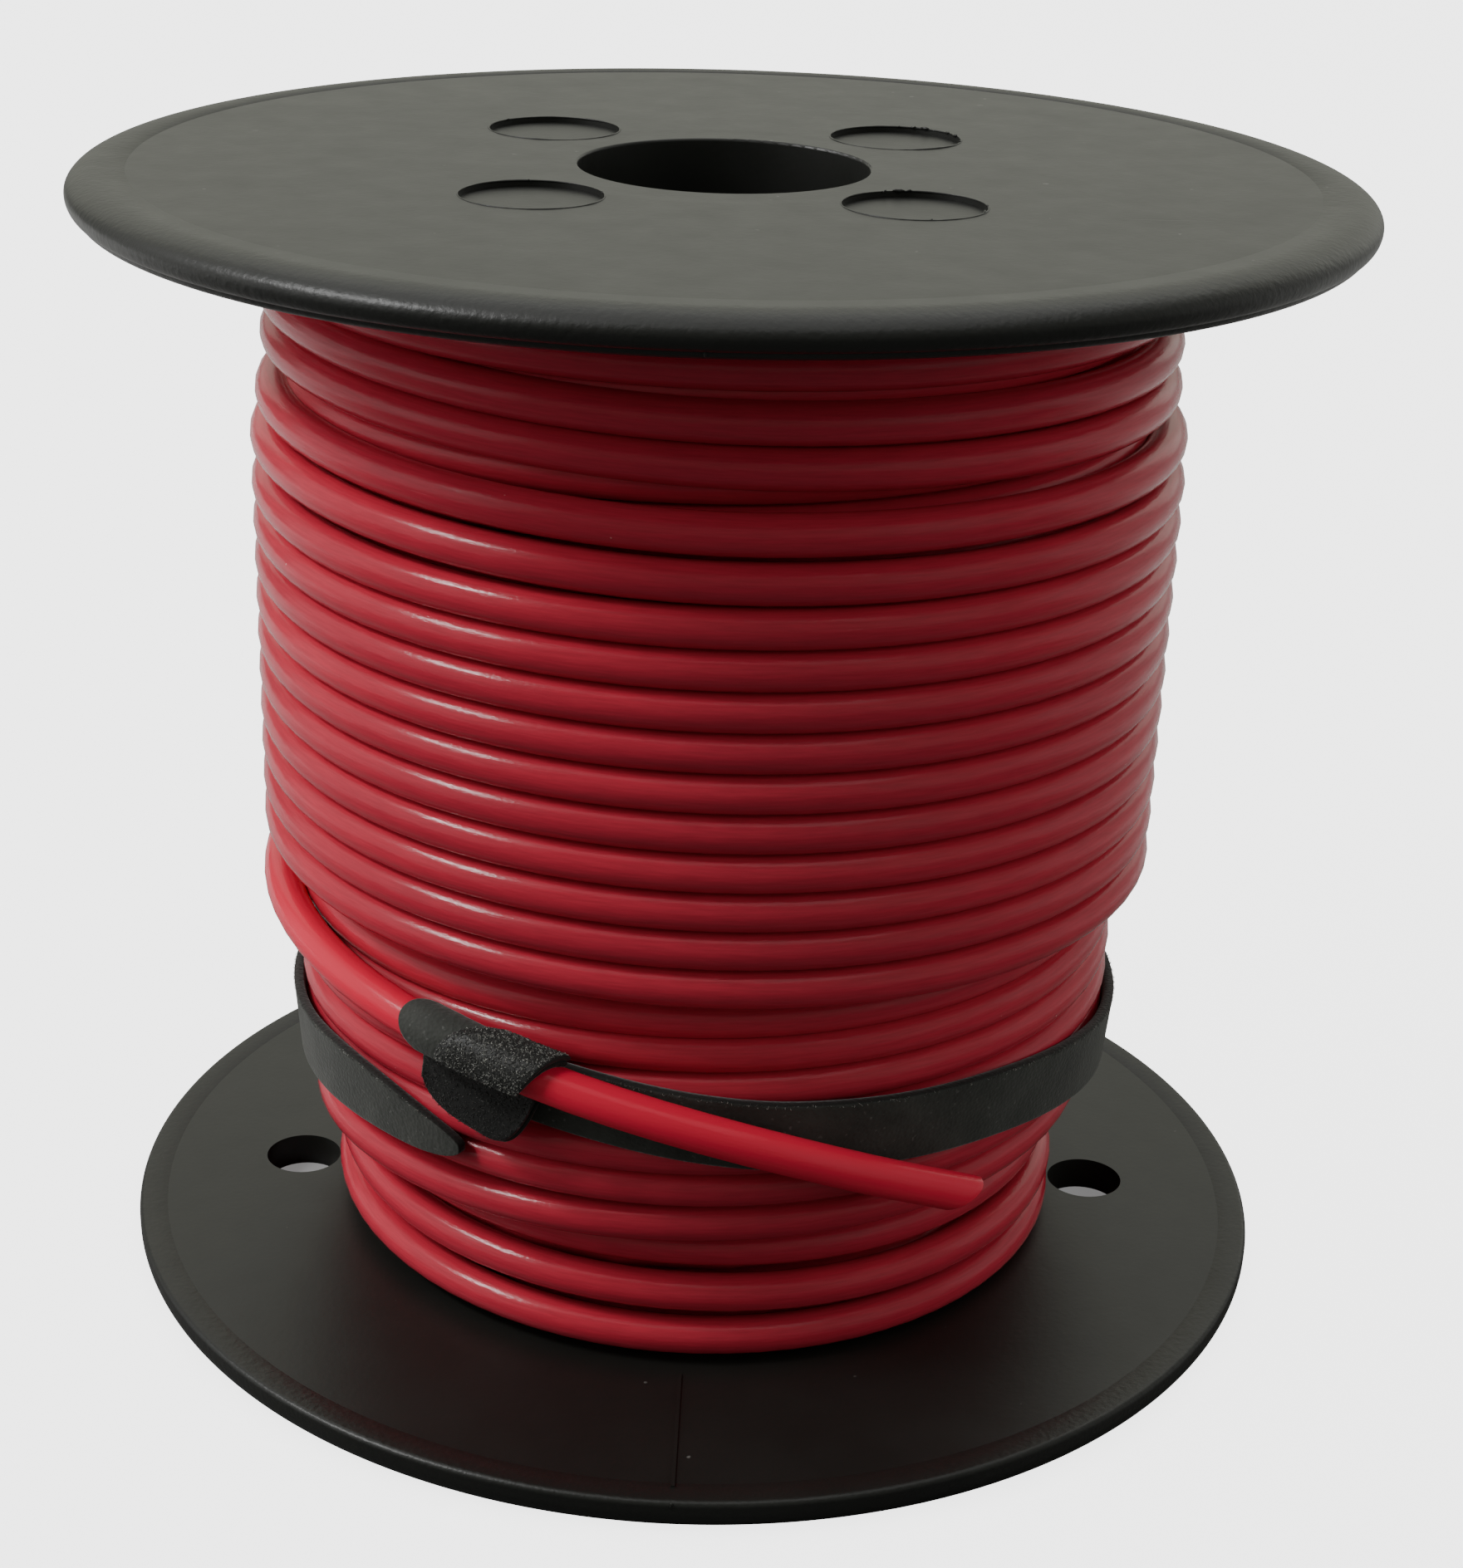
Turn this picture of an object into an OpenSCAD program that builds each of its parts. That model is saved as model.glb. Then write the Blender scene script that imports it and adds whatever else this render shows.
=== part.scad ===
// Wire spool: a one-piece moulded spool wound with single-core wire, whose free end
// is tucked under the keeper of a hook-and-loop tie. Millimetres, +Z up, origin on
// the spool's axis at the underside of its lower flange.

/* [Spool] */
// Diameter of both flanges
flange_d = 101.6; // [95:0.1:110]
// Thickness of each flange
flange_t = 3; // [2.6:0.1:4]
// Length of the barrel between the flanges
traverse = 89; // [88:0.5:92]
// Outer diameter of the barrel
barrel_d = 29.3; // [28:0.1:30]
// Diameter of the arbor bore
bore_d = 23.3; // [20:0.1:25]
// Rounding of each flange's outer rim edge
rim_round = 2; // [1:0.1:2.2]
// Rounding of each flange's inner rim edge
rim_ease = 0.5; // [0.2:0.1:0.7]
// Rounding at each mouth of the bore
mouth_round = 0.2; // [0.1:0.05:0.6]

/* [Flange details] */
// Diameter of the two holes through the lower flange
tie_hole_d = 6.8; // [5:0.1:8]
// Diameter of the circle that the two holes lie on
tie_hole_pcd = 72.8; // [71:0.1:75]
// Diameter of the four blind recesses in the upper flange
recess_d = 11; // [8:0.1:12]
// Depth of the recesses
recess_depth = 0.45; // [0.3:0.05:1]
// Diameter of the circle that the recesses lie on
recess_pcd = 40.6; // [38:0.1:44]
// Width of the mould's parting line
parting_w = 0.3; // [0.2:0.05:0.5]
// Height of the mould's parting line
parting_h = 0.12; // [0.08:0.01:0.2]

/* [Wire] */
// Outer diameter of the wire's insulation
wire_d = 3.2; // [3.1:0.05:3.2]
// Diameter of one copper strand
strand_d = 0.46; // [0.4:0.02:0.46]
// Radius of the outermost layer, at the wire's centre
outer_layer_r = 36.7; // [36.4:0.1:36.8]
// Length of bare socket that the strands are seen in at the cut end
strand_show = 6; // [3:0.5:6.5]
// Angle of the cut across the wire's end
cut_angle = 40; // [0:1:45]

/* [Tie] */
// Width of the hook-and-loop tie
tie_w = 6.2; // [5.8:0.1:6.6]
// Thickness of its long strip
tie_t = 0.9; // [0.6:0.05:0.95]
// Thickness of the keeper that holds the wire's end
keeper_t = 0.6; // [0.5:0.05:0.8]
// Thickness of the loop pad on the keeper
pad_t = 0.6; // [0.4:0.05:0.8]
// Thickness of the loop pad below the wire's end
lower_pad_t = 1.6; // [1.2:0.05:1.6]

/* [Hidden] */
$fn = 96;
eps = 0.01;

flange_r = flange_d / 2;
barrel_r = barrel_d / 2;
bore_r = bore_d / 2;
height = traverse + 2 * flange_t;
top_in = height - flange_t;
wire_r = wire_d / 2;

// Outermost layer: its turns cover the upper part, and the top few lie sunk in a little
upper_turns = 16;
upper_pitch = 3.33;
sunk_turns = 3;
sink = 1.2;
// Turns that show below it: radius and height of the wire's centre, from the flange up.
// The first three belong to the layer two below the outermost, the rest to the next.
lower_turns = [
    [31.2, 4.7], [31.2, 9], [30.2, 13.2], [32.7, 17], [33.3, 20.4], [33.6, 23.8],
    [33.7, 27.1], [33.7, 30.4], [33.7, 33.6], [33.6, 36.8]
];

// Route of the wire's loose end, from the last turn round to the start of its
// straight tip: angle about the axis, radius and height of the wire's centre.
lead_route = [
    [-352, 36.9, 38], [-340, 36.9, 38], [-327, 36.9, 37.9], [-314, 36.9, 37.8],
    [-301, 36.9, 37.7], [-288, 36.9, 37.6], [-275, 36.9, 37.4], [-262, 36.9, 37.2],
    [-249, 36.9, 37], [-236, 36.9, 36.8], [-223, 36.9, 36.5], [-210, 36.8, 36.2],
    [-197, 36.8, 35.9], [-184, 36.8, 35.6], [-172, 36.8, 35.3], [-160, 36.9, 35],
    [-150, 37, 34.7], [-140, 37.3, 34.3], [-130, 37.7, 33.8], [-120, 38.1, 33.1],
    [-110, 38.4, 32], [-100, 38.5, 30.6], [-90, 38.5, 28.9], [-80, 38.5, 26.8],
    [-72, 38.5, 24.8], [-66, 38.5, 23.1]
];
// Straight tip beyond the route: length, and how far it points below the level
tip_len = 7;
tip_dip = 22;
tip_in = 1;
// The eight-sided run sits just inside the round tip that it joins
run_r = wire_r - 0.05;

// Tie strip, from its buried end round to its tapered tail: angle, height, half width
strip_route = [
    [-477, 30, 3.1], [-465, 29, 3.1], [-453, 27.8, 3.1], [-441, 26.8, 3.1],
    [-425, 26.2, 3.1], [-408, 25.7, 3.1], [-398, 25, 3.1], [-390, 24.3, 3.1],
    [-380, 23.3, 3.1], [-367, 22.4, 3.1], [-320, 21.8, 3.1], [-270, 21.6, 3.1],
    [-220, 21.5, 3.1], [-189, 21.4, 3.1], [-171, 21.5, 3.1], [-160, 21.9, 3.1],
    [-150, 22.5, 3.1], [-142, 22.8, 2.9], [-135, 22.7, 2.6], [-131, 22.5, 2.3],
    [-128, 22.2, 2], [-126, 22.1, 1.7], [-124, 22, 1.2], [-122.5, 21.9, 0.7],
    [-121.5, 21.9, 0.3]
];
// Mean radius of its inner face, how far it is shifted towards +X, and how far its
// upper edge leans out for each millimetre of width
strip_in_r = 35.45;
strip_shift = 0.35;
strip_tilt = 0.08;
strip_from = -121.5;
strip_to = -470;
tail_step = 1.5;
tail_rings = 14;
strip_steps = 56;

// Keeper over the wire's end: angles it spans along and around the wire, and the
// angle that its round end takes up
keeper_from = -126.3;
keeper_to = -107.3;
keeper_low = -80;
keeper_high = 115;
keeper_head = 4;
keeper_step = 2.5;
// Loop pad on the keeper: angles it spans, and its inset from the keeper's edges
pad_from = -118;
pad_to = -108;
pad_step = 2;
pad_inset = 5;

// Lower pad: the strip's own rounded head, standing off below the wire's end
lower_pad_route = [
    // angle, inner radius, height, half width
    [-109, 36.2, 29, 0.9], [-110.5, 36.2, 28.2, 1.8], [-112.5, 36.2, 27.7, 2.2],
    [-114.5, 36.2, 27.5, 2.3], [-117, 36.2, 27.7, 2.2], [-119.5, 36.2, 28.1, 1.9],
    [-122, 36.2, 28.5, 1.5], [-124, 36.2, 28.9, 0.9], [-125, 36.2, 29.1, 0.5]
];

black = [0.09, 0.09, 0.085];
red = [0.66, 0.06, 0.06];
copper = [0.78, 0.42, 0.26];
tie_black = [0.12, 0.12, 0.11];

// A point on a cylinder about the axis
function around(az, r, z) = [r * cos(az), r * sin(az), z];
function unit(v) = v / norm(v);

// Closed skin over equal rings of points. Each ring runs along one side of the section
// and back along the other, so its flat ends are strips of four-cornered faces.
module skin(rings) {
    n = len(rings[0]);
    last = (len(rings) - 1) * n;
    cap = [for (k = [0:n / 2 - 2]) [k, k + 1, n - 2 - k, n - 1 - k]];
    polyhedron(
        points = [for (ring = rings) each ring],
        faces = concat(
            [for (face = cap) [face[3], face[2], face[1], face[0]]],
            [for (i = [0:len(rings) - 2], k = [0:n - 1])
                let (a = i * n + k, b = i * n + (k + 1) % n)
                each [[a, b, b + n], [a, b + n, a + n]]],
            [for (face = cap) [for (k = face) last + k]]
        ),
        convexity = 10
    );
}

// Half of one flange's outline, outer face down: rounded rim and rounded bore mouth
module flange_outline() {
    translate([bore_r + mouth_round, 0])
        square([flange_r - rim_round - bore_r - mouth_round, flange_t]);
    translate([bore_r, mouth_round]) square([mouth_round + eps, flange_t - mouth_round]);
    translate([bore_r + mouth_round, mouth_round]) circle(r = mouth_round);
    intersection() {
        translate([flange_r - rim_round, rim_round]) circle(r = rim_round);
        translate([flange_r - rim_round, 0]) square([rim_round, rim_round]);
    }
    translate([flange_r - rim_round - eps, rim_round - eps])
        square([rim_round + eps, flange_t - rim_round - rim_ease + eps]);
    translate([flange_r - rim_round - eps, flange_t - rim_ease - eps])
        square([rim_round - rim_ease + eps, rim_ease + eps]);
    translate([flange_r - rim_ease, flange_t - rim_ease]) circle(r = rim_ease);
}

// Raised line that the two mould halves leave on the flanges, on both sides
module parting_lines() {
    line_from = lower_turns[0][0] + wire_r + 1;
    for (side = [0, 180], z = [flange_t - eps, top_in - parting_h])
        rotate(side - 91)
            translate([line_from, -parting_w / 2, z])
                cube([flange_r - rim_round - line_from, parting_w, parting_h + eps]);
}

module spool() {
    color(black)
    difference() {
        union() {
            rotate_extrude($fn = 180) {
                flange_outline();
                translate([0, height]) mirror([0, 1]) flange_outline();
                translate([bore_r, flange_t - eps])
                    square([barrel_r - bore_r, traverse + 2 * eps]);
            }
            parting_lines();
        }
        for (side = [0, 180])
            rotate(side) translate([tie_hole_pcd / 2, 0, -1])
                cylinder(d = tie_hole_d, h = flange_t + 2);
        for (corner = [45:90:315])
            rotate(corner) translate([recess_pcd / 2, 0, height - recess_depth])
                cylinder(d = recess_d, h = recess_depth + 1);
    }
}

// Outer shape of the coil: solid to the middle of each showing layer, with a round
// ridge for every turn that shows
module winding() {
    top_z = top_in - wire_r;
    upper_end = top_z - (upper_turns - 1) * upper_pitch;
    core_r = min([for (turn = lower_turns) turn[0]]);
    under = concat([[core_r, flange_t]], lower_turns, [[core_r, upper_end]]);
    color(red)
    rotate_extrude($fn = 180) {
        translate([barrel_r, upper_end])
            square([outer_layer_r - sink - barrel_r, top_in - upper_end]);
        translate([barrel_r, upper_end])
            square([outer_layer_r - barrel_r, (upper_turns - 1 - sunk_turns) * upper_pitch]);
        for (i = [0:upper_turns - 1])
            translate([outer_layer_r - (i < sunk_turns ? sink : 0), top_z - i * upper_pitch])
                circle(r = wire_r, $fn = 32);
        for (turn = lower_turns)
            translate(turn) circle(r = wire_r, $fn = 32);
        for (i = [1:len(under) - 1])
            translate([barrel_r, under[i - 1][1] - eps])
                square([
                    min(under[i - 1][0], under[i][0]) - barrel_r,
                    under[i][1] - under[i - 1][1] + eps
                ]);
    }
}

// Ring of eight points about the route's point i, square to the route
function lead_at(i) = around(lead_route[i][0], lead_route[i][1], lead_route[i][2]);
function lead_ring(i) =
    let (
        last = len(lead_route) - 1,
        p = lead_at(i),
        along = unit(lead_at(min(i + 1, last)) - lead_at(max(i - 1, 0))),
        out = unit([p[0], p[1], 0]),
        n = unit(out - (out * along) * along),
        b = cross(along, n)
    )
    [for (k = [0:7]) p + run_r * (cos(22.5 + 45 * k) * n - sin(22.5 + 45 * k) * b)];

// Places children at the start of the straight tip, with +X along the wire
module at_tip() {
    last = len(lead_route) - 1;
    translate(lead_at(last)) rotate([0, tip_dip, lead_route[last][0] + 90]) children();
}

// Everything past the slanting cut at the wire's end
module past_cut() {
    translate([tip_len, 0, 0]) rotate([0, cut_angle, 0])
        translate([0, -5, -5]) cube(10);
}

module lead() {
    color(red) {
        skin([for (i = [0:len(lead_route) - 1]) lead_ring(i)]);
        at_tip() difference() {
            translate([-tip_in, 0, 0]) rotate([0, 90, 0])
                cylinder(r = wire_r, h = tip_in + tip_len + 3, $fn = 48);
            past_cut();
            translate([tip_len - strand_show, 0, 0]) rotate([0, 90, 0])
                cylinder(d = 5 * strand_d, h = strand_show + 3, $fn = 48);
        }
    }
}

// One strand of the copper core, off the wire's centre by the given angle and radius
module strand(angle, r) {
    at_tip() difference() {
        translate([tip_len - strand_show, r * cos(angle), r * sin(angle)]) rotate([0, 90, 0])
            cylinder(d = strand_d, h = strand_show + 3, $fn = 24);
        past_cut();
    }
}

module core_strand() { color(copper) strand(0, 0); }

module inner_strands() {
    color(copper) for (k = [0:5]) strand(60 * k, strand_d);
}

module outer_strands() {
    outer_ring_r = strand_d / 2 / sin(15) + eps;
    color(copper) for (k = [0:11]) strand(30 * k + 15, outer_ring_r);
}

// Four corners of a strip's section: inner radius, height, half width, thickness, tilt
function strip_ring(az, r, z, half, t, tilt = 0) = [
    around(az, r - tilt * half, z - half), around(az, r + tilt * half, z + half),
    around(az, r + tilt * half + t, z + half), around(az, r - tilt * half + t, z - half)
];

module tie_strip() {
    centre = [for (p = strip_route) [p[0], p[1]]];
    half = [for (p = strip_route) [p[0], p[2]]];
    full_from = strip_from - tail_rings * tail_step;
    step = (strip_to - full_from) / strip_steps;
    angles = concat(
        [for (i = [0:tail_rings - 1]) strip_from - i * tail_step],
        [for (i = [0:strip_steps]) full_from + i * step]
    );
    color(tie_black)
    skin([for (az = angles)
        strip_ring(
            az, strip_in_r + strip_shift * cos(az), lookup(az, centre), lookup(az, half),
            tie_t, strip_tilt
        )]);
}

// Radius and height of the wire's centre where its loose end passes an angle
function wire_place(az) = [
    lookup(az, [for (p = lead_route) [p[0], p[1]]]),
    lookup(az, [for (p = lead_route) [p[0], p[2]]])
];

// Section of a shell bent over the wire, from one angle around the wire to another
function shell_ring(az, r_in, r_out, low, high) =
    let (c = wire_place(az), n = 8)
    concat(
        [for (k = [0:n]) let (a = high + (low - high) * k / n)
            around(az, c[0] + r_in * cos(a), c[1] + r_in * sin(a))],
        [for (k = [0:n]) let (a = low + (high - low) * k / n)
            around(az, c[0] + r_out * cos(a), c[1] + r_out * sin(a))]
    );

module tie_keeper() {
    r_out = wire_r + keeper_t;
    middle = (keeper_low + keeper_high) / 2;
    half = (keeper_high - keeper_low) / 2;
    head = [for (a = [22.5:22.5:90])
        shell_ring(keeper_from + keeper_head * (1 - cos(a)), wire_r, r_out,
            middle - half * sin(a), middle + half * sin(a))];
    body = [for (az = [keeper_from + keeper_head + keeper_step:keeper_step:keeper_to])
        shell_ring(az, wire_r, r_out, keeper_low, keeper_high)];
    color(tie_black) skin(concat(head, body));
}

module tie_keeper_pad() {
    r_in = wire_r + keeper_t;
    color(tie_black)
        skin([for (az = [pad_from:pad_step:pad_to])
            shell_ring(az, r_in, r_in + pad_t, keeper_low + pad_inset, keeper_high - pad_inset)]);
}

module tie_lower_pad() {
    color(tie_black)
        skin([for (p = lower_pad_route) strip_ring(p[0], p[1], p[2], p[3], lower_pad_t)]);
}

spool();
winding();
lead();
core_strand();
inner_strands();
outer_strands();
tie_strip();
tie_keeper();
tie_keeper_pad();
tie_lower_pad();
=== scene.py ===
"""Looks of a wire spool: a moulded black spool, its red wire and the hook-and-loop tie."""

import math

import bmesh
import bpy
import numpy as np
from mathutils import Matrix, Vector


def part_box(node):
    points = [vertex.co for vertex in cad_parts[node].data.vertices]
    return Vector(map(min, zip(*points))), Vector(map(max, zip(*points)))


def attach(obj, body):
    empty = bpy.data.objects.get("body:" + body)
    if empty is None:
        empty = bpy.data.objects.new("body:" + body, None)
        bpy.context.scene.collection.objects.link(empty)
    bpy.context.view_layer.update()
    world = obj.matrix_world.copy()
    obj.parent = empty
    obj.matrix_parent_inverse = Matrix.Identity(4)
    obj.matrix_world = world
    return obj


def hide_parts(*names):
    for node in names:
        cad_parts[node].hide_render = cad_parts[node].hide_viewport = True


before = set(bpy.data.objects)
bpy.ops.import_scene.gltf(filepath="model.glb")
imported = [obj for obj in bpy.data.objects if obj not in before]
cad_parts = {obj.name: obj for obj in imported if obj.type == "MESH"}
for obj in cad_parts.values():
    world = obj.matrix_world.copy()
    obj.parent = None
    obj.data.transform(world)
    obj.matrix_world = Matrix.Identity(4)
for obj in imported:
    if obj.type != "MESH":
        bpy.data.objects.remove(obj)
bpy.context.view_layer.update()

MM = 0.001
BODY = "root"
rng = np.random.default_rng(7)

# --- Sizes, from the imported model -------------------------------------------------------

SPOOL_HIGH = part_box("spool")[1]
HEIGHT = SPOOL_HIGH.z
FLANGE_R = SPOOL_HIGH.x
FLANGE_T = 3 * MM
TOP_IN = HEIGHT - FLANGE_T
BARREL_R = 14.65 * MM

WIRE_R = 1.6 * MM
CORE_R = 1.15 * MM
OUTER_LAYER_R = 36.76 * MM
LAYERS = 8
LAYER_STEP = 2.93 * MM
LOWEST = FLANGE_T + WIRE_R
HIGHEST = TOP_IN - WIRE_R
WIRE_LENGTH = 30.5

TIE_HALF = 3.1 * MM
TIE_T = 0.9 * MM

# --- Places ------------------------------------------------------------------------------


def around(az, r, z):
    """Points on cylinders about the spool's axis: angle in degrees, radius and height."""
    a = np.radians(np.asarray(az, float))
    r, z = np.broadcast_arrays(np.asarray(r, float) + 0 * a, np.asarray(z, float) + 0 * a)
    return np.stack([r * np.cos(a), r * np.sin(a), z], axis=-1)


def unit(v):
    """Vectors of length 1 along the last axis."""
    return v / np.linalg.norm(v, axis=-1, keepdims=True)


def smooth_step(x, low, high):
    """0 below low, 1 above high, and a soft ramp between."""
    t = np.clip((x - low) / (high - low), 0, 1)
    return t * t * (3 - 2 * t)


# --- Camera ------------------------------------------------------------------------------

SENSOR = 36.0
LENS = 63.93
CAMERA_AT = (0.0, -0.2250, 0.1359)
YAW, PITCH, ROLL = -0.464, 24.80, 1.551
SHIFT_X, SHIFT_Y = 0.0318, 0.0636


def make_camera():
    """The camera that looks down on the front of the spool."""
    data = bpy.data.cameras.new("camera")
    data.sensor_width = SENSOR
    data.lens = LENS
    data.shift_x = SHIFT_X
    data.shift_y = SHIFT_Y
    data.clip_start = 0.01
    data.clip_end = 20
    yaw, pitch, roll = (math.radians(v) for v in (YAW, PITCH, ROLL))
    ahead = math.cos(pitch)
    forward = Vector((math.sin(yaw) * ahead, math.cos(yaw) * ahead, -math.sin(pitch)))
    level = forward.cross(Vector((0, 0, 1))).normalized()
    upright = level.cross(forward)
    right = level * math.cos(roll) + upright * math.sin(roll)
    up = upright * math.cos(roll) - level * math.sin(roll)
    camera = bpy.data.objects.new("camera", data)
    camera.matrix_world = Matrix((right, up, -forward)).transposed().to_4x4()
    camera.location = CAMERA_AT
    bpy.context.scene.collection.objects.link(camera)
    bpy.context.scene.camera = camera


# --- Meshes ------------------------------------------------------------------------------


def mesh_object(name, points, faces, material):
    """A smooth-shaded mesh piece that rides on the spool."""
    mesh = bpy.data.meshes.new(name)
    mesh.from_pydata(np.asarray(points).tolist(), [], faces)
    mesh.validate()
    mesh.shade_smooth()
    mesh.materials.append(material)
    piece = bpy.data.objects.new(name, mesh)
    bpy.context.scene.collection.objects.link(piece)
    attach(piece, BODY)
    return piece


def bridge(a, b, n_a, n_b):
    """Faces between a ring of n_a points from index a and one of n_b points from index b.

    One count is the other's multiple. Both rings run the same way round.
    """
    if n_a == n_b:
        return [(a + k, a + (k + 1) % n_a, b + (k + 1) % n_b, b + k) for k in range(n_a)]
    if n_a > n_b:
        return [tuple(reversed(face)) for face in bridge(b, a, n_b, n_a)]
    many = n_b // n_a
    faces = []
    for k in range(n_a):
        here, after = a + k, a + (k + 1) % n_a
        ring = [b + (k * many + i) % n_b for i in range(many + 1)]
        half = many // 2
        faces += [(here, ring[i + 1], ring[i]) for i in range(half)]
        faces.append((here, after, ring[half]))
        faces += [(after, ring[i + 1], ring[i]) for i in range(half, many)]
    return faces


# --- Wire --------------------------------------------------------------------------------

# All lengths down to the hidden layers' turns are in mm. Heights at which the outer layer's
# turns pass the front, from the upper flange down
OUTER_FRONT = [90.4, 87.75, 83.9, 80.7, 76.0, 72.5, 69.15]
OUTER_TURNS = 16
OUTER_PITCH = 3.2
# Where its second to fourth turns lie a little higher or lower on the way round: turn,
# degrees from the front, height
OUTER_STRAYS = [
    (2, -60, 85.3), (2, 60, 83.2), (3, -60, 82.1), (3, -20, 81.2), (3, 40, 80.0),
    (4, -60, 77.3), (4, 60, 75.6), (5, -60, 73.7), (5, 60, 71.9), (15, 83, 39.3),
]
# Heights at which the next layer's turns pass the front, from the bottom up
UNDER_FRONT = [17.3, 20.8, 24.0, 27.1, 30.2, 33.3, 36.2]
UNDER_PITCH = 3.292
# The loose lowest turns of the layer below that one: degrees before its end, radius, height
LOOSE_TURNS = [(1180, 30.9, 17.4), (1000, 30.6, 15.6), (820, 30.2, 13.4), (640, 30.6, 11.4),
               (460, 31.0, 9.5), (280, 31.1, 7.2), (100, 31.0, 5.2), (0, 31.0, 4.7)]
# How the wire climbs from there over the loose turns to the next layer's start:
# degrees on from there, radius, height
CLIMB = [(60, 31.3, 5.2), (110, 32.2, 8.6), (170, 32.9, 13.2), (220, 32.8, 15.9)]
LAST_FRONT = -450
# How far the highest turns of the outer layer sink in, and between which heights
SINK, SINK_FROM, SINK_FULL = 1.1, 74, 81
# How far the lowest turns of the next layer sink in, and how far the ones in view bulge out
UNDER_SINK, UNDER_SINK_FULL, UNDER_SINK_TO = 1.2, 16, 26
UNDER_BULGE, UNDER_BULGE_FULL, UNDER_BULGE_TO = 0.25, 33, 38
# Degrees before the outer layer's start at which the wire leaves the one below and arrives
LEAVES_UNDER, REACHES_OUTER = 250, 120
# Turns in each hidden layer, degrees the wire takes to change layers and to climb
HIDDEN_TURNS = 24.5
LAYER_CHANGE = 60
CLIMB_SPAN = 270
# Where a finer tube is needed: degrees before the outer layer, and turns of the one below
FINE_BEFORE_OUTER = 200
FINE_LOW_TURNS, FINE_TOP_TURN = 8, 17
# The coil lies a little to one side: how far everywhere, and how much more low down, and
# the angles at which each comes and goes
LEAN, LOW_LEAN = 0.2 * MM, 0.3 * MM
LEAN_FROM, LEAN_FULL, LEAN_UNTIL, LEAN_GONE = -7800, -7000, -300, -200
LOW_LEAN_FULL, LOW_LEAN_UNTIL, LOW_LEAN_GONE = 300, 5 * 360, 7 * 360
# Degrees over which the route's corners are rounded, and by which it is carried on for that
ROUNDING = 33
RUN_ON = 30

# Route of the loose end from the back of the spool to the start of its straight tip:
# angle about the axis, radius and height of the wire's centre
LEAD_ROUTE = [
    (-275, 0.0369, 0.0374), (-262, 0.0369, 0.0372), (-249, 0.0369, 0.0370),
    (-236, 0.0369, 0.0368), (-223, 0.0369, 0.0365), (-210, 0.0368, 0.0362),
    (-197, 0.0368, 0.0359), (-184, 0.0368, 0.0356), (-172, 0.0368, 0.0353),
    (-160, 0.0369, 0.0350), (-150, 0.0370, 0.0347), (-140, 0.0373, 0.0343),
    (-130, 0.0377, 0.0338), (-120, 0.0381, 0.0331), (-110, 0.0384, 0.0320),
    (-100, 0.0385, 0.0306), (-90, 0.0385, 0.0289), (-80, 0.0385, 0.0268),
    (-72, 0.0385, 0.0248), (-66, 0.0385, 0.0231),
]
TIP_LENGTH = 7 * MM
TIP_DIP = 22
CUT_ANGLE = 40
SOCKET_DEPTH = 6 * MM
SOCKET_MOUTH = 0.5 * MM
CUT_ROUND = 0.25 * MM
# Length of the tip that the slanting cut takes up, and rings along the rest of it
CUT_REACH = 2.4 * MM
TIP_STEPS = 5

FINE_SIDES, COARSE_SIDES = 24, 8
FINE_STEP, COARSE_STEP = 5, 18


def layer_r(n):
    """Radius of the wire's centre in layer n, counted from the barrel."""
    return OUTER_LAYER_R - (LAYERS - n) * LAYER_STEP


def outer_knot(az, z):
    """A knot of the outer layer, whose highest turns have sunk in."""
    sunk = SINK * smooth_step(z, SINK_FROM, SINK_FULL)
    return az, layer_r(LAYERS) - sunk * MM, z * MM


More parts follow.
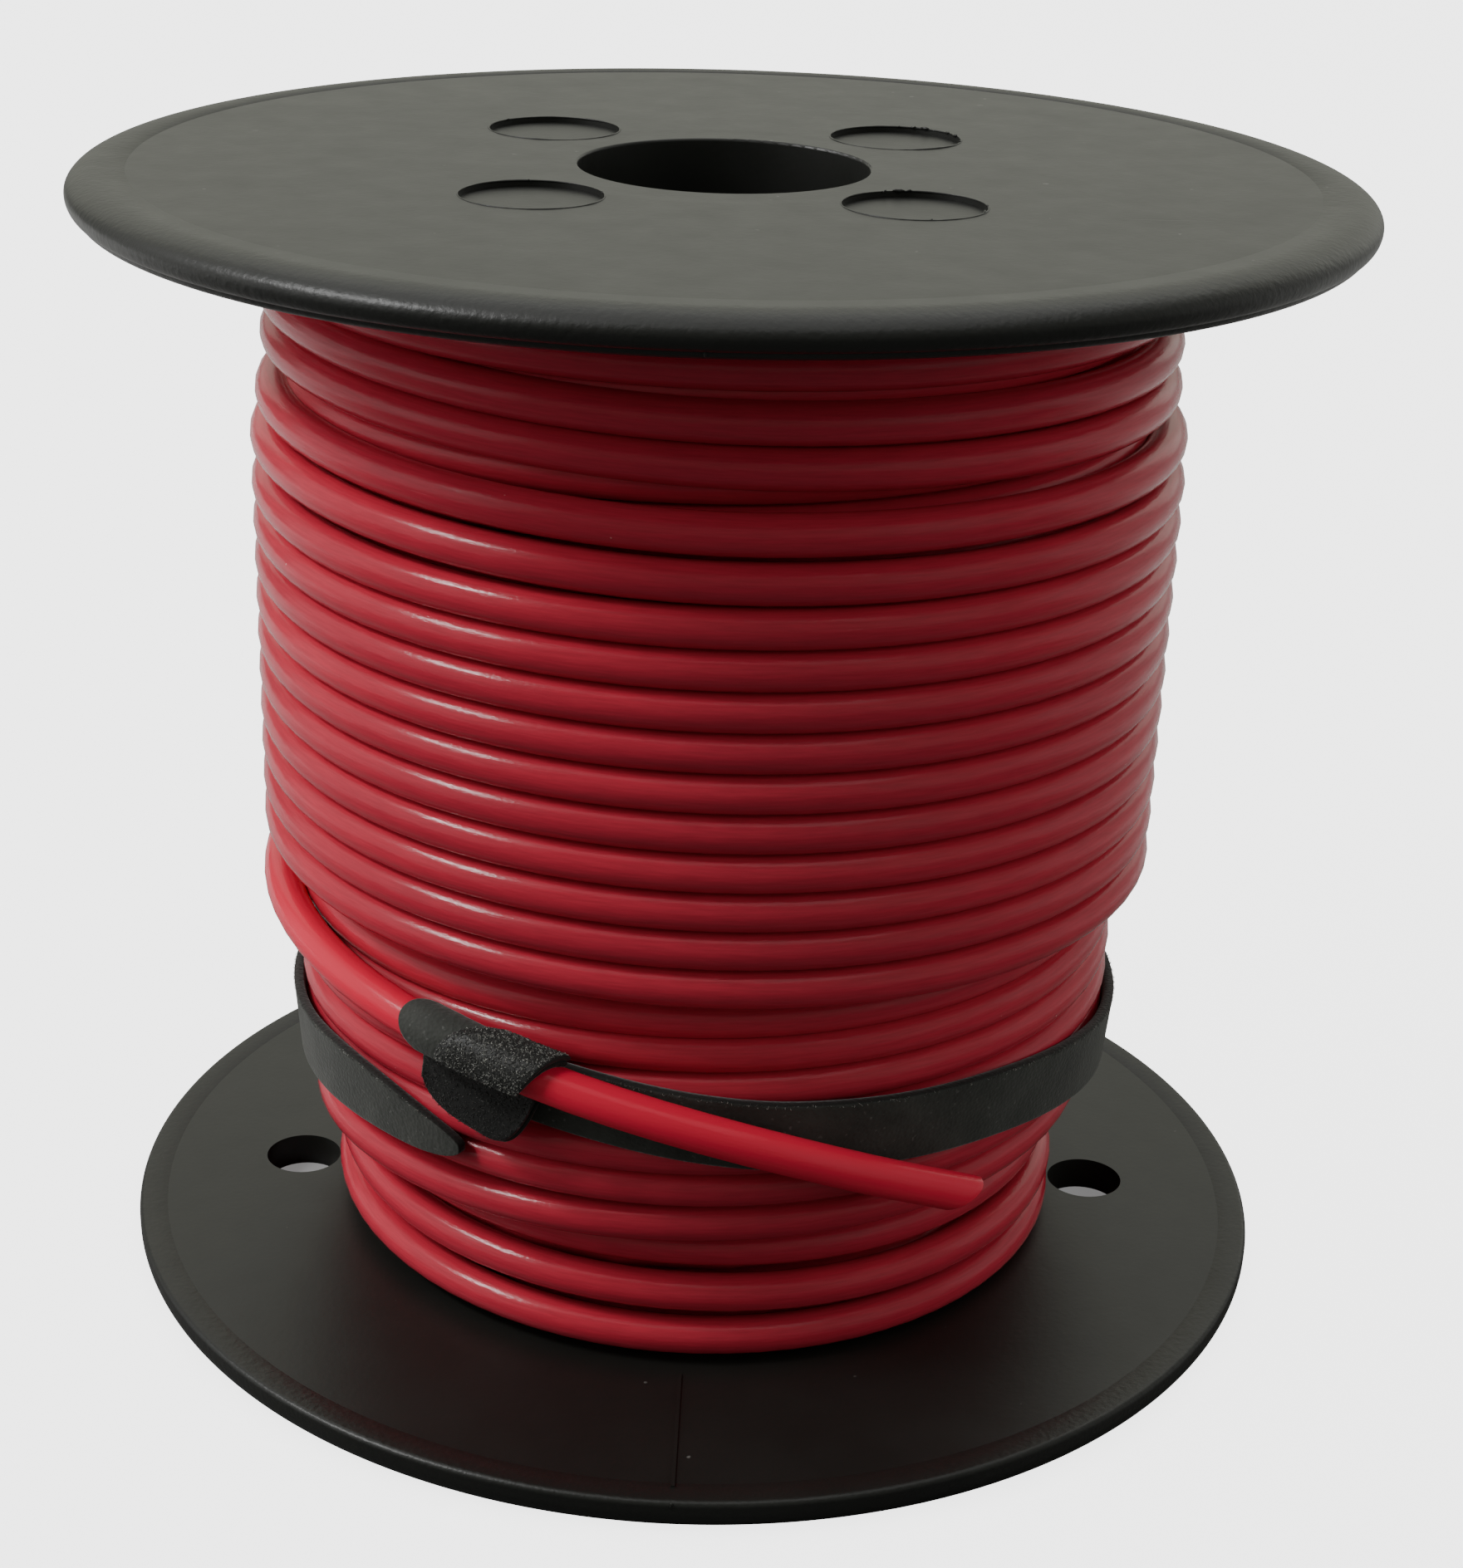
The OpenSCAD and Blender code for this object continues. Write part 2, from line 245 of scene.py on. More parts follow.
def coil_knots():
    """The whole wire as (angle, radius, height) knots, from the barrel out to the tip.

    Also the angles between which a finer tube is needed, because the turns show there.
    """
    under_r = layer_r(LAYERS - 1)
    shown = []

    # Outermost layer, down from the upper flange
    more = OUTER_TURNS - len(OUTER_FRONT)
    heights = OUTER_FRONT + [OUTER_FRONT[-1] - OUTER_PITCH * k for k in range(1, more + 1)]
    first = LAST_FRONT - 360 * (OUTER_TURNS - 1)
    outer = [outer_knot(first + 360 * k, z) for k, z in enumerate(heights)]
    outer += [outer_knot(first + 360 * turn + past, z) for turn, past, z in OUTER_STRAYS]
    outer.sort()
    shown.append((first - FINE_BEFORE_OUTER, 0))

    # The layer under it, up from the loose turns
    heights = list(UNDER_FRONT)
    while heights[-1] + UNDER_PITCH < HIGHEST / MM:
        heights.append(heights[-1] + UNDER_PITCH)
    under_first = first - 360 * len(heights)
    under = []
    for k, z in enumerate(heights):
        low = UNDER_SINK * (1 - smooth_step(z, UNDER_SINK_FULL, UNDER_SINK_TO))
        wide = UNDER_BULGE * (1 - smooth_step(z, UNDER_BULGE_FULL, UNDER_BULGE_TO))
        under.append((under_first + 360 * k, under_r + (wide - low) * MM, z * MM))
    under.append((first - LEAVES_UNDER, under_r, HIGHEST))
    under.append((first - REACHES_OUTER, layer_r(LAYERS) - SINK * MM, HIGHEST))
    shown.append((under_first - 360, under_first + 360 * FINE_LOW_TURNS))
    shown.append((under_first + 360 * FINE_TOP_TURN, first))

    # Loose lowest turns of the layer below, and the climb off them
    loose_end = under_first - CLIMB_SPAN
    loose_span = LOOSE_TURNS[0][0]
    climb = [(loose_end + past, r * MM, z * MM) for past, r, z in CLIMB]
    loose = [(loose_end - before, r * MM, z * MM) for before, r, z in LOOSE_TURNS]
    shown.append((loose_end - loose_span, under_first))

    # Hidden layers, back from there to the barrel
    hidden = []
    at, start, end = loose[0][0], loose[0][2], HIGHEST
    for n in range(LAYERS - 2, 0, -1):
        span = HIDDEN_TURNS * 360 - (loose_span if n == LAYERS - 2 else 0)
        if n < LAYERS - 2:
            hidden.append((at, layer_r(n), start))
        hidden.append((at - span, layer_r(n), end))
        at -= span + LAYER_CHANGE
        start, end = end, LOWEST if end == HIGHEST else HIGHEST
    knots = sorted(hidden) + loose + climb + under + outer + list(LEAD_ROUTE)
    return knots, shown, under_first


def wire_route():
    """Centre points of the wire, and for each whether the fine tube is needed there."""
    knots, shown, under_first = coil_knots()
    az, r, z = (np.array(v) for v in zip(*knots))
    # The last knots carried on, so that smoothing leaves the end where it is
    az = np.append(az, az[-1] + RUN_ON)
    r = np.append(r, r[-1])
    z = np.append(z, z[-1] + (z[-1] - z[-2]) / (az[-2] - az[-3]) * RUN_ON)
    grid = np.arange(az[0], az[-1], 1.0)
    window = np.hanning(ROUNDING)
    window /= window.sum()
    half = len(window) // 2
    smooth_r = np.convolve(np.pad(np.interp(grid, az, r), half, "edge"), window, "valid")
    smooth_z = np.convolve(np.pad(np.interp(grid, az, z), half, "edge"), window, "valid")
    stops = []
    at = az[0]
    while at < LEAD_ROUTE[-1][0]:
        fine = any(low <= at < high for low, high in shown)
        stops.append((at, fine))
        at += FINE_STEP if fine else COARSE_STEP
    stops.append((LEAD_ROUTE[-1][0], True))
    angles = np.array([s[0] for s in stops])
    fine = np.array([s[1] for s in stops])
    radius = np.interp(angles, grid, smooth_r)
    height = np.interp(angles, grid, smooth_z)
    all_turns = smooth_step(angles, LEAN_FROM, LEAN_FULL)
    all_turns *= 1 - smooth_step(angles, LEAN_UNTIL, LEAN_GONE)
    past = angles - under_first
    low_turns = smooth_step(past, 0, LOW_LEAN_FULL)
    low_turns *= 1 - smooth_step(past, LOW_LEAN_UNTIL, LOW_LEAN_GONE)
    lean = np.cos(np.radians(angles)) * (LEAN * all_turns + LOW_LEAN * low_turns)
    return around(angles, radius + lean, height), fine


class Tube:
    """A tube grown ring by ring; each point also knows its place on the wire laid straight."""

    def __init__(self):
        self.points, self.straight, self.faces = [], [], []
        self.start = self.sides = 0

    def add(self, centre, r, ring, along):
        """A ring of radius r about a centre, at a length along the wire."""
        directions, flat = ring
        start, sides = self.start + self.sides, len(flat)
        if self.points:
            self.faces += bridge(self.start, start, self.sides, sides)
        else:
            self.faces.append(tuple(reversed(range(sides))))
        self.points.append(centre + r * directions)
        self.straight.append(np.column_stack([np.broadcast_to(along, sides), r * flat]))
        self.start, self.sides = start, sides

    def close(self):
        """Closes the end of the tube."""
        self.faces.append(tuple(self.start + k for k in range(self.sides)))


def unit_ring(sides, outward, side):
    """Directions round the wire, in space and as (out, across) pairs."""
    turn = 2 * np.pi * np.arange(sides) / sides
    flat = np.column_stack([np.cos(turn), np.sin(turn)])
    return flat[:, :1] * outward + flat[:, 1:] * side, flat


def tip_directions():
    """Which way the straight tip points, and the way square to it in its plane of dip."""
    heading = math.radians(LEAD_ROUTE[-1][0] + 90)
    dip = math.radians(TIP_DIP)
    level = np.array([math.cos(heading), math.sin(heading), 0])
    along = level * math.cos(dip) - np.array([0, 0, math.sin(dip)])
    upward = level * math.sin(dip) + np.array([0, 0, math.cos(dip)])
    return along, upward


def cut_tip(tube, base, along, upward, ring, travelled):
    """The slanting cut: a rounded rim, the face of the insulation and the core's socket."""
    slant = ring[0] @ upward * math.tan(math.radians(CUT_ANGLE))
    profile = [
        (WIRE_R, -3 * CUT_ROUND), (WIRE_R, -CUT_ROUND),
        (WIRE_R - 0.3 * CUT_ROUND, -0.3 * CUT_ROUND), (WIRE_R - CUT_ROUND, 0),
        (CORE_R, 0), (CORE_R, -SOCKET_MOUTH)]
    for r, back in profile:
        reach = TIP_LENGTH + r * slant + back
        tube.add(base + reach[:, None] * along, r, ring, travelled + reach)
    tube.add(base + (TIP_LENGTH - SOCKET_DEPTH) * along, CORE_R, ring, travelled)
    tube.close()


def make_wire(material):
    """One wire all the way: coiled in eight layers, its cut end lying over the tie."""
    route, fine = wire_route()
    base = route[-1]
    along_tip, upward = tip_directions()
    tip_steps = np.linspace(0, 1, TIP_STEPS + 1)[1:] * (TIP_LENGTH - CUT_REACH)
    centre = np.vstack([route, base + tip_steps[:, None] * along_tip])
    fine = np.append(fine, [True] * TIP_STEPS)

    tangent = unit(np.gradient(centre, axis=0))
    tangent[-TIP_STEPS:] = along_tip
    outward = centre * [1, 1, 0]
    normal = unit(outward - (outward * tangent).sum(1, keepdims=True) * tangent)
    side = np.cross(tangent, normal)
    steps = np.linalg.norm(np.diff(centre, axis=0), axis=1)
    travelled = np.concatenate([[0], np.cumsum(steps)])

    tube = Tube()
    for i in range(len(centre)):
        ring = unit_ring(FINE_SIDES if fine[i] else COARSE_SIDES, normal[i], side[i])
        tube.add(centre[i], WIRE_R, ring, travelled[i])
    cut_tip(tube, base, along_tip, upward, ring, travelled[len(route) - 1])

    wire = mesh_object("wire", np.vstack(tube.points), tube.faces, material)
    attribute = wire.data.attributes.new("straight", "FLOAT_VECTOR", "POINT")
    attribute.data.foreach_set("vector", np.vstack(tube.straight).astype(np.float32).ravel())
    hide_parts("winding", "lead")


# --- Tie ---------------------------------------------------------------------------------

# Height of the strip's centre, by angle, from its buried end round to its tail
STRIP_ROUTE = [
    (-477, 30.0), (-465, 29.0), (-453, 27.8), (-441, 26.8), (-425, 26.2), (-408, 25.7),
    (-398, 25.0), (-390, 24.3), (-380, 23.3), (-367, 22.4), (-320, 21.8), (-270, 21.6),
    (-220, 21.5), (-189, 21.4), (-171, 21.5), (-160, 21.9), (-150, 22.5), (-142, 22.8),
    (-135, 22.7), (-131, 22.5), (-128, 22.2), (-124, 22.0), (-121.5, 21.9),
]
# Mean radius of its inner face, its shift towards +X, and how far it leans out upward
STRIP_IN_R = 35.45 * MM
STRIP_SHIFT = 0.35 * MM
STRIP_TILT = 0.08
STRIP_FROM, STRIP_TO = -473, -121.4
# The tail narrows towards its round tip over this many degrees
TAIL_ARC = 30.6
# Angles round the wire that the keeper spans. Past its bend it hangs straight down.
KEEPER_LOW, KEEPER_HIGH = -27, 115
KEEPER_BEND = -12
PAD_LOW = -15
# Where the keeper starts and ends about the axis, its rounded nose and its end's slant
KEEPER_START, KEEPER_END = -126.3, -107.6
KEEPER_NOSE, KEEPER_SLANT = 4.2, 2.3
KEEPER_GAP = 0.03 * MM
# The same for its pad, which goes just past the keeper's end
PAD_START, PAD_SLANT, PAD_BOW = -118.5, 3.3, 1.5
PAD_PAST = 0.3
# How thin the pad is at its left edge, as a part of its thickness
PAD_THIN = 0.6
KEEPER_T = 0.6 * MM
PAD_T = 0.45 * MM
# The lobe below the keeper: angle, height of its lower edge
LOBE_EDGE = [
    (-125.1, 29.5), (-124.7, 28.6), (-124.2, 27.9), (-123.4, 27.3), (-122.4, 26.8),
    (-121.0, 26.3), (-119.5, 25.95), (-118.0, 25.65), (-116.4, 25.35), (-115.2, 25.1),
    (-114.2, 25.05), (-113.2, 25.25), (-112.2, 25.8), (-111.3, 26.6), (-110.5, 27.5),
    (-109.8, 28.5), (-109.2, 29.6),
]
LOBE_TOP = 30.9
LOBE_T = 0.8 * MM
LOBE_CURL = 0.3 * MM
LOBE_R = 37.05 * MM
# The layer of tape behind the lobe, and how much lower it reaches, in mm
LOBE_BACK_R = 36.35 * MM
LOBE_BACK_DROP = 0.5
# The part of a pad that its loops stand on, and how deep they are rooted
LOOPED = (-0.97, 0.97)
ROOT = 0.03 * MM
# The loops of each piece: how many, their width and their fibre's radius
FLAP_LOOPS = (3600, 0.17 * MM, 0.022 * MM)
LOBE_LOOPS = (1600, 0.17 * MM, 0.020 * MM)
BAND_FUZZ = (1300, 0.18 * MM, 0.014 * MM)
FUZZY_EDGE = (0.9, 0.99)


def slab(place, u, v, half_length, half_width, thickness, edge):
    """Points, faces and edge nearness of a thin closed sheet with rounded edges.

    u and v are its grid, from -1 to 1 along and across. place(u, v, t) gives the points
    at a height in the sheet's thickness. half_length and half_width are in metres.
    """
    u, v = np.meshgrid(u, v, indexing="ij")
    gap = np.minimum((1 - np.abs(u)) * half_length, (1 - np.abs(v)) * half_width)
    full = np.sqrt(np.clip(1 - (1 - np.clip(gap / edge, 0, 1)) ** 2, 0, 1))
    top = place(u, v, thickness / 2 * (1 + full))
    bottom = place(u, v, thickness / 2 * (1 - full))
    rim = np.clip(1 - gap / (2 * edge), 0, 1).ravel()
    rows, columns = u.shape
    points = np.vstack([top.reshape(-1, 3), bottom.reshape(-1, 3)])
    under = rows * columns
    faces = []
    for i in range(rows - 1):
        for j in range(columns - 1):
            a = i * columns + j
            corners = (a, a + columns, a + columns + 1, a + 1)
            faces.append(corners)
            faces.append(tuple(under + c for c in reversed(corners)))
    round_edge = [i * columns for i in range(rows)]
    round_edge += [(rows - 1) * columns + j for j in range(1, columns)]
    round_edge += [i * columns + columns - 1 for i in range(rows - 2, -1, -1)]
    round_edge += list(range(columns - 2, 0, -1))
    for a, b in zip(round_edge, round_edge[1:] + round_edge[:1]):
        faces.append((b, a, under + a, under + b))
    return points, faces, np.concatenate([rim, np.ones_like(rim)])


def crowded(n):
    """n + 1 values from -1 to 1 that crowd towards both ends."""
    return -np.cos(np.pi * np.arange(n + 1) / n)


def weld(piece):
    """Joins the points that lie on each other and turns every face outward."""
    mesh = piece.data
    work = bmesh.new()
    work.from_mesh(mesh)
    bmesh.ops.remove_doubles(work, verts=work.verts, dist=0.002 * MM)
    bmesh.ops.recalc_face_normals(work, faces=work.faces)
    work.to_mesh(mesh)
    work.free()
    mesh.shade_smooth()


def table(rows, column, at):
    """A column of a table of rows, looked up at values of its first column."""
    rows = sorted(rows)
    return np.interp(at, [row[0] for row in rows], [row[column] for row in rows])


def strip_place(u, v, t):
    """The band: u runs along it to the tail, v across it."""
    az = STRIP_FROM + (STRIP_TO - STRIP_FROM) * (u + 1) / 2
    past = np.clip((az - (STRIP_TO - TAIL_ARC)) / TAIL_ARC, 0, 1)
    half = TIE_HALF * np.sqrt(np.clip(1 - past ** 2, 0, 1))
    z = sum(table(STRIP_ROUTE, 1, az + shift) for shift in (-4, -2, 0, 2, 4)) / 5 * MM
    r = STRIP_IN_R + STRIP_SHIFT * np.cos(np.radians(az)) + STRIP_TILT * v * half
    return around(az, r + t, z + v * half)


def keeper_ends(v):
    """Angles about the axis at which the keeper starts and ends, across its width."""
    start = KEEPER_START + KEEPER_NOSE * (1 - np.sqrt(np.clip(1 - 0.98 * v ** 2, 0, 1)))
    end = KEEPER_END + KEEPER_SLANT * v
    return start, end


def on_wire(az, turn, height):
    """Points at an angle round the loose end and a height above its insulation."""
    r = table(LEAD_ROUTE, 1, az)
    z = table(LEAD_ROUTE, 2, az)
    a = np.radians(np.maximum(turn, KEEPER_BEND))
    hang = (WIRE_R + KEEPER_T) * np.radians(np.maximum(KEEPER_BEND - turn, 0))
    r = r + (WIRE_R + height) * np.cos(a) + hang * np.sin(a)
    z = z + (WIRE_R + height) * np.sin(a) - hang * np.cos(a)
    return around(az, r, z)


def keeper_place(u, v, t):
    """The keeper: u runs along the loose end, v round it."""
    start, end = keeper_ends(v)
    turn = KEEPER_LOW + (KEEPER_HIGH - KEEPER_LOW) * (v + 1) / 2
    return on_wire(start + (end - start) * (u + 1) / 2, turn, KEEPER_GAP + t)


def pad_place(u, v, t):
    """The keeper's pad, thinner at its left edge."""
    start = PAD_START + PAD_SLANT * v + PAD_BOW * v ** 2
    end = keeper_ends(v)[1] + PAD_PAST
    rise = PAD_THIN + (1 - PAD_THIN) * smooth_step(u, -1.0, -0.7)
    turn = PAD_LOW + (KEEPER_HIGH - PAD_LOW) * (v + 1) / 2
    return on_wire(start + (end - start) * (u + 1) / 2, turn, KEEPER_T + t * rise)


def lobe_place(u, v, t, r=LOBE_R, drop=0.0):
    """The lobe below the keeper: u runs round the coil, v up from its lower edge."""
    az = LOBE_EDGE[0][0] + (LOBE_EDGE[-1][0] - LOBE_EDGE[0][0]) * (u + 1) / 2
    low = sum(table(LOBE_EDGE, 1, az + shift) for shift in (-0.4, 0, 0.4)) / 3 - drop
    z = low + (LOBE_TOP - low) * (v + 1) / 2
    curl = LOBE_CURL * ((1 - v) / 2) ** 2
    return around(az, r + t + curl, z * MM)


def lobe_back_place(u, v, t):
    """The layer of tape behind the lobe."""
    return lobe_place(u, v, t, r=LOBE_BACK_R, drop=LOBE_BACK_DROP)


def make_slab(name, place, material, u, v, half_length, half_width, thickness, edge):
    """A piece of the tie as a thin sheet, which knows how near its edge each point is."""
    points, faces, rim = slab(place, u, v, half_length, half_width, thickness, edge)
    piece = mesh_object(name, points, faces, material)
    attribute = piece.data.attributes.new("rim", "FLOAT", "POINT")
    attribute.data.foreach_set("value", rim.astype(np.float32))
    weld(piece)
    return piece


def loops(name, place, top, count, size, radius, material, v_range=LOOPED):
    """Tiny standing loops of fibre all over the face of a pad."""
    steps, sides = 5, 3
    u = rng.uniform(*LOOPED, count)
    v = rng.uniform(*v_range, count)
    here = place(u, v, np.full(count, top))
    above = place(u, v, np.full(count, top + 0.1 * MM))
    beside = place(np.clip(u + 0.02, -1, 1), v, np.full(count, top))
    out = unit(above - here)
    along = unit(beside - here)
    side = np.cross(out, along)
    turn = rng.uniform(0, 2 * np.pi, count)[:, None]
    lie = np.cos(turn) * along + np.sin(turn) * side
    span = (size * rng.uniform(0.5, 1.2, count))[:, None]
    height = (size * rng.uniform(0.2, 0.7, count))[:, None]
    lean = rng.normal(0, 0.35, (count, 1)) * np.cross(out, lie)
    spine = []
    for k in range(steps):
        a = np.pi * (0.02 + 0.96 * k / (steps - 1))
        rise = height * np.sin(a) * (out + lean)
        spine.append(here - ROOT * out + span / 2 * np.cos(a) * lie + rise)
    spine = np.stack(spine, axis=1)
    tangent = unit(np.gradient(spine, axis=1))
    across = unit(np.cross(tangent, (out + lean)[:, None, :] + 1e-9))
    other = np.cross(tangent, across)
    a = 2 * np.pi * np.arange(sides) / sides
    ring = np.cos(a)[:, None] * across[:, :, None, :] + np.sin(a)[:, None] * other[:, :, None, :]
    points = (spine[:, :, None, :] + radius * ring).reshape(-1, 3)
    first = np.arange(count)[:, None, None] * steps * sides
    k = np.arange(steps - 1)[None, :, None] * sides
    j = np.arange(sides)[None, None, :]
    after = (j + 1) % sides
    here = first + k
    quads = np.stack([here + j, here + after, here + sides + after, here + sides + j], axis=-1)
    piece = mesh_object(name, points, quads.reshape(-1, 4).tolist(), material)
    shade = np.repeat(rng.uniform(0, 1, count), steps * sides).astype(np.float32)
    piece.data.attributes.new("shade", "FLOAT", "POINT").data.foreach_set("value", shade)
    return piece


def make_tie(tape, loop, shaded_loop):
    """The tie: its band, the keeper over the loose end with its pad, and the lobe below."""
    tail_u = 1 - 2 * TAIL_ARC / (STRIP_TO - STRIP_FROM)
    head = np.linspace(-1, tail_u, 190)
    tail = tail_u + (1 - tail_u) * np.sin(np.pi / 2 * np.arange(1, 41) / 40)
    strip = make_slab(
        "tie_band", strip_place, tape, np.concatenate([head, tail]), crowded(16),
        half_length=110 * MM, half_width=TIE_HALF, thickness=TIE_T, edge=0.14 * MM)
    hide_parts("tie_strip")
    keeper = make_slab(
        "tie_flap", keeper_place, tape, crowded(30), crowded(30),
        half_length=6 * MM, half_width=3.4 * MM, thickness=KEEPER_T, edge=0.18 * MM)
    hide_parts("tie_keeper")
    pad = make_slab(
        "tie_flap_pad", pad_place, loop, crowded(28), crowded(28),
        half_length=3.5 * MM, half_width=3.6 * MM, thickness=PAD_T, edge=0.25 * MM)
    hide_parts("tie_keeper_pad")
    # The lobe wears the darker copy of the loop tape: painted shade
    lobe = make_slab(
        "tie_lower_lobe", lobe_place, shaded_loop, crowded(36), crowded(20),
        half_length=5 * MM, half_width=2.4 * MM, thickness=LOBE_T, edge=0.25 * MM)
    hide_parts("tie_lower_pad")
    make_slab(
        "tie_lower_back", lobe_back_place, tape, crowded(36), crowded(20),
        half_length=5 * MM, half_width=2.4 * MM, thickness=KEEPER_T, edge=0.2 * MM)
    loops("flap_loops", pad_place, PAD_T, *FLAP_LOOPS, loop)
    loops("lobe_loops", lobe_place, LOBE_T, *LOBE_LOOPS, shaded_loop)
    loops("band_fuzz", strip_place, TIE_T, *BAND_FUZZ, loop, v_range=FUZZY_EDGE)


# --- Mould marks -------------------------------------------------------------------------

RECESS_PCD = 40.6 * MM
RECESS_R = 5.5 * MM
# Bits of flash at the recesses: which recess, angle round it, size
FLASH_BITS = [
    (0, 20, 0.30), (0, 33, 0.22), (0, 60, 0.34), (0, 71, 0.22), (0, 84, 0.16), (0, -12, 0.2),
    (3, 100, 0.36), (3, 92, 0.24), (3, 112, 0.18), (3, -22, 0.26), (3, 4, 0.18), (3, -80, 0.14),
    (1, 140, 0.14), (2, 95, 0.16), (2, 15, 0.14),
]
# The lip of flash round each recess: its radius, and how much that comes and goes
LIP_R, LIP_WOBBLE = 0.07 * MM, 0.05 * MM
# The nub at each rim's parting line: where it starts, its height, its distance from the axis
NUB_ANGLE = -91.0
NUB_R = 0.12 * MM
NUBS = [
    (HEIGHT - FLANGE_T + 0.2 * MM, 0.9 * MM, FLANGE_R + 0.1 * MM),
    (2.4 * MM, 0.6 * MM, FLANGE_R - 0.02 * MM),
]


def make_flash(material):
    """Thin lips of flash round the blind recesses, torn here and there, and two nubs."""
    points, faces = [], []

    def tube(centres, radii, first, second, closed):
        start = sum(len(p) for p in points)
        sides = 6
        a = 2 * np.pi * np.arange(sides) / sides
        ring = np.cos(a)[None, :, None] * first[:, None, :] + np.sin(a)[None, :, None] * second
        points.append((centres[:, None, :] + radii[:, None, None] * ring).reshape(-1, 3))
        n = len(centres)
        for i in range(n if closed else n - 1):
            b = start + ((i + 1) % n) * sides
            faces.extend(bridge(start + i * sides, b, sides, sides))
        if not closed:
            faces.append(tuple(start + k for k in range(sides - 1, -1, -1)))
            faces.append(tuple(start + (n - 1) * sides + k for k in range(sides)))

    upward = np.array([0, 0, 1.0])
    turn = np.arange(0, 360, 3.0)
    for k in range(4):
        corner = around(45 + 90 * k, RECESS_PCD / 2, 0)
        wobble = np.convolve(rng.normal(0, 1, len(turn) + 8), np.ones(9) / 9, "valid")
        out = around(turn, 1, 0)
        centres = corner + around(turn, RECESS_R + 0.02 * MM, HEIGHT)
        tube(centres, LIP_R + LIP_WOBBLE * np.clip(wobble, -1, 1), out, upward, True)
        for where, angle, size in FLASH_BITS:
            if where != k:
                continue
            spread = angle + np.linspace(-1, 1, 5) * 2.6 * size / 0.2
            bit_out = around(spread, 1, 0)
            middle = corner + around(spread, RECESS_R - 0.05 * MM, HEIGHT + 0.04 * MM)
            middle += rng.normal(0, 0.03 * MM, middle.shape)
            shape = np.array([0.25, 0.8, 1.0, 0.7, 0.2])
            tube(middle, size * MM / 2 * shape, bit_out, upward, False)
    for low, height, r in NUBS:
        spread = np.full(5, NUB_ANGLE) + rng.normal(0, 0.05, 5)
        middle = around(spread, r, low + height * np.linspace(0, 1, 5))
        sideways = around(spread + 90, 1, 0)[:, None, :]
        shape = np.array([0.5, 1.0, 0.9, 1.0, 0.4])
        tube(middle, NUB_R * shape, around(spread, 1, 0), sideways, False)
    return mesh_object("mould_flash", np.vstack(points), faces, material)


# --- Rims --------------------------------------------------------------------------------

RIM_SKIN = 0.02 * MM
RIM_RUN_IN = 4 * MM
INNER_ROUND = 0.5 * MM
# Each flange's rim: how far it stands out beyond the flange, then its rounding inward from
# there and down from the outer face, and how far below that it has drawn in again
UPPER_RIM = (0.7 * MM, 2.7 * MM, 1.5 * MM, 1.0 * MM)
LOWER_RIM = (RIM_SKIN, 2.02 * MM, 2.02 * MM, 0.4 * MM)


def rim_profile(beyond, inward, down, drawn_in):
    """Radius and depth below the outer face along a rim, closed inside the flange."""
    quarter = np.radians(np.linspace(90, 0, 25))
    wide = FLANGE_R + beyond
    skin = FLANGE_R + RIM_SKIN
    profile = [(wide - inward - RIM_RUN_IN, -RIM_SKIN)]
    profile += [(wide - inward * (1 - math.cos(a)), RIM_SKIN - down * (1 - math.sin(a)))
                for a in quarter]
    profile += [(skin + (wide - skin) * math.sin(a), RIM_SKIN - down - drawn_in * math.cos(a))
                for a in quarter[1:]]
    profile += [(skin - INNER_ROUND * (1 - math.sin(a)),
                 INNER_ROUND * (1 - math.cos(a)) - FLANGE_T - RIM_SKIN)
                for a in quarter]
    profile += [(skin - INNER_ROUND - RIM_RUN_IN, RIM_SKIN - FLANGE_T)]
    profile += [(skin - INNER_ROUND - RIM_RUN_IN, -FLANGE_T / 2)]
    return profile


def make_rims(material):
    """A finely turned skin over the rounded rim of each flange; the upper one stands out more."""
    turn = np.arange(0, 360, 1.0)
    sides = len(turn)
    points, faces = [], []
    for rim, face, way in ((UPPER_RIM, HEIGHT, 1), (LOWER_RIM, 0, -1)):
        profile = rim_profile(*rim)
        first = len(points) * sides
        points += [around(turn, r, face + way * depth) for r, depth in profile]
        for k in range(len(profile)):
            ring = bridge(first + k * sides, first + (k + 1) % len(profile) * sides, sides, sides)
            faces += [tuple(reversed(quad)) for quad in ring] if way > 0 else ring
    return mesh_object("flange_rims", np.vstack(points), faces, material)


# --- Materials ---------------------------------------------------------------------------


def new_material(name):
    """A material with its nodes, and its main shader."""
    material = bpy.data.materials.new(name)
    material.use_nodes = True
    return material, material.node_tree, material.node_tree.nodes["Principled BSDF"]


def add(tree, kind, **settings):
    """A node of that kind, with its input sockets set by name and its own settings."""
    node = tree.nodes.new("ShaderNode" + kind)
    for key, value in settings.items():
        socket = key.replace("_", " ")
        if socket in node.inputs:
            node.inputs[socket].default_value = value
        else:
            setattr(node, key, value)
    return node


def link(tree, source, socket, target, name):
    tree.links.new(source.outputs[socket], target.inputs[name])


def ramp(tree, source, socket, stops):
    """A colour ramp over a value, with (position, colour or grey) stops."""
    node = add(tree, "ValToRGB")
    elements = node.color_ramp.elements
    while len(elements) < len(stops):
        elements.new(0.5)
    for element, (position, colour) in zip(elements, stops):
        element.position = position
        element.color = (*colour, 1) if isinstance(colour, tuple) else (colour, colour, colour, 1)
    link(tree, source, socket, node, "Fac")
    return node


def stretched(tree, source, socket, scale):
    """Coordinates scaled by a different factor each way."""
    node = add(tree, "Mapping")
    node.inputs["Scale"].default_value = scale
    link(tree, source, socket, node, "Vector")
    return node


def noise(tree, coordinates, scale, detail=3.0, roughness=0.5):
    """A noise texture over a node's coordinates."""
    node = add(tree, "TexNoise", Scale=scale, Detail=detail, Roughness=roughness)
    link(tree, coordinates, "Vector", node, "Vector")
    return node


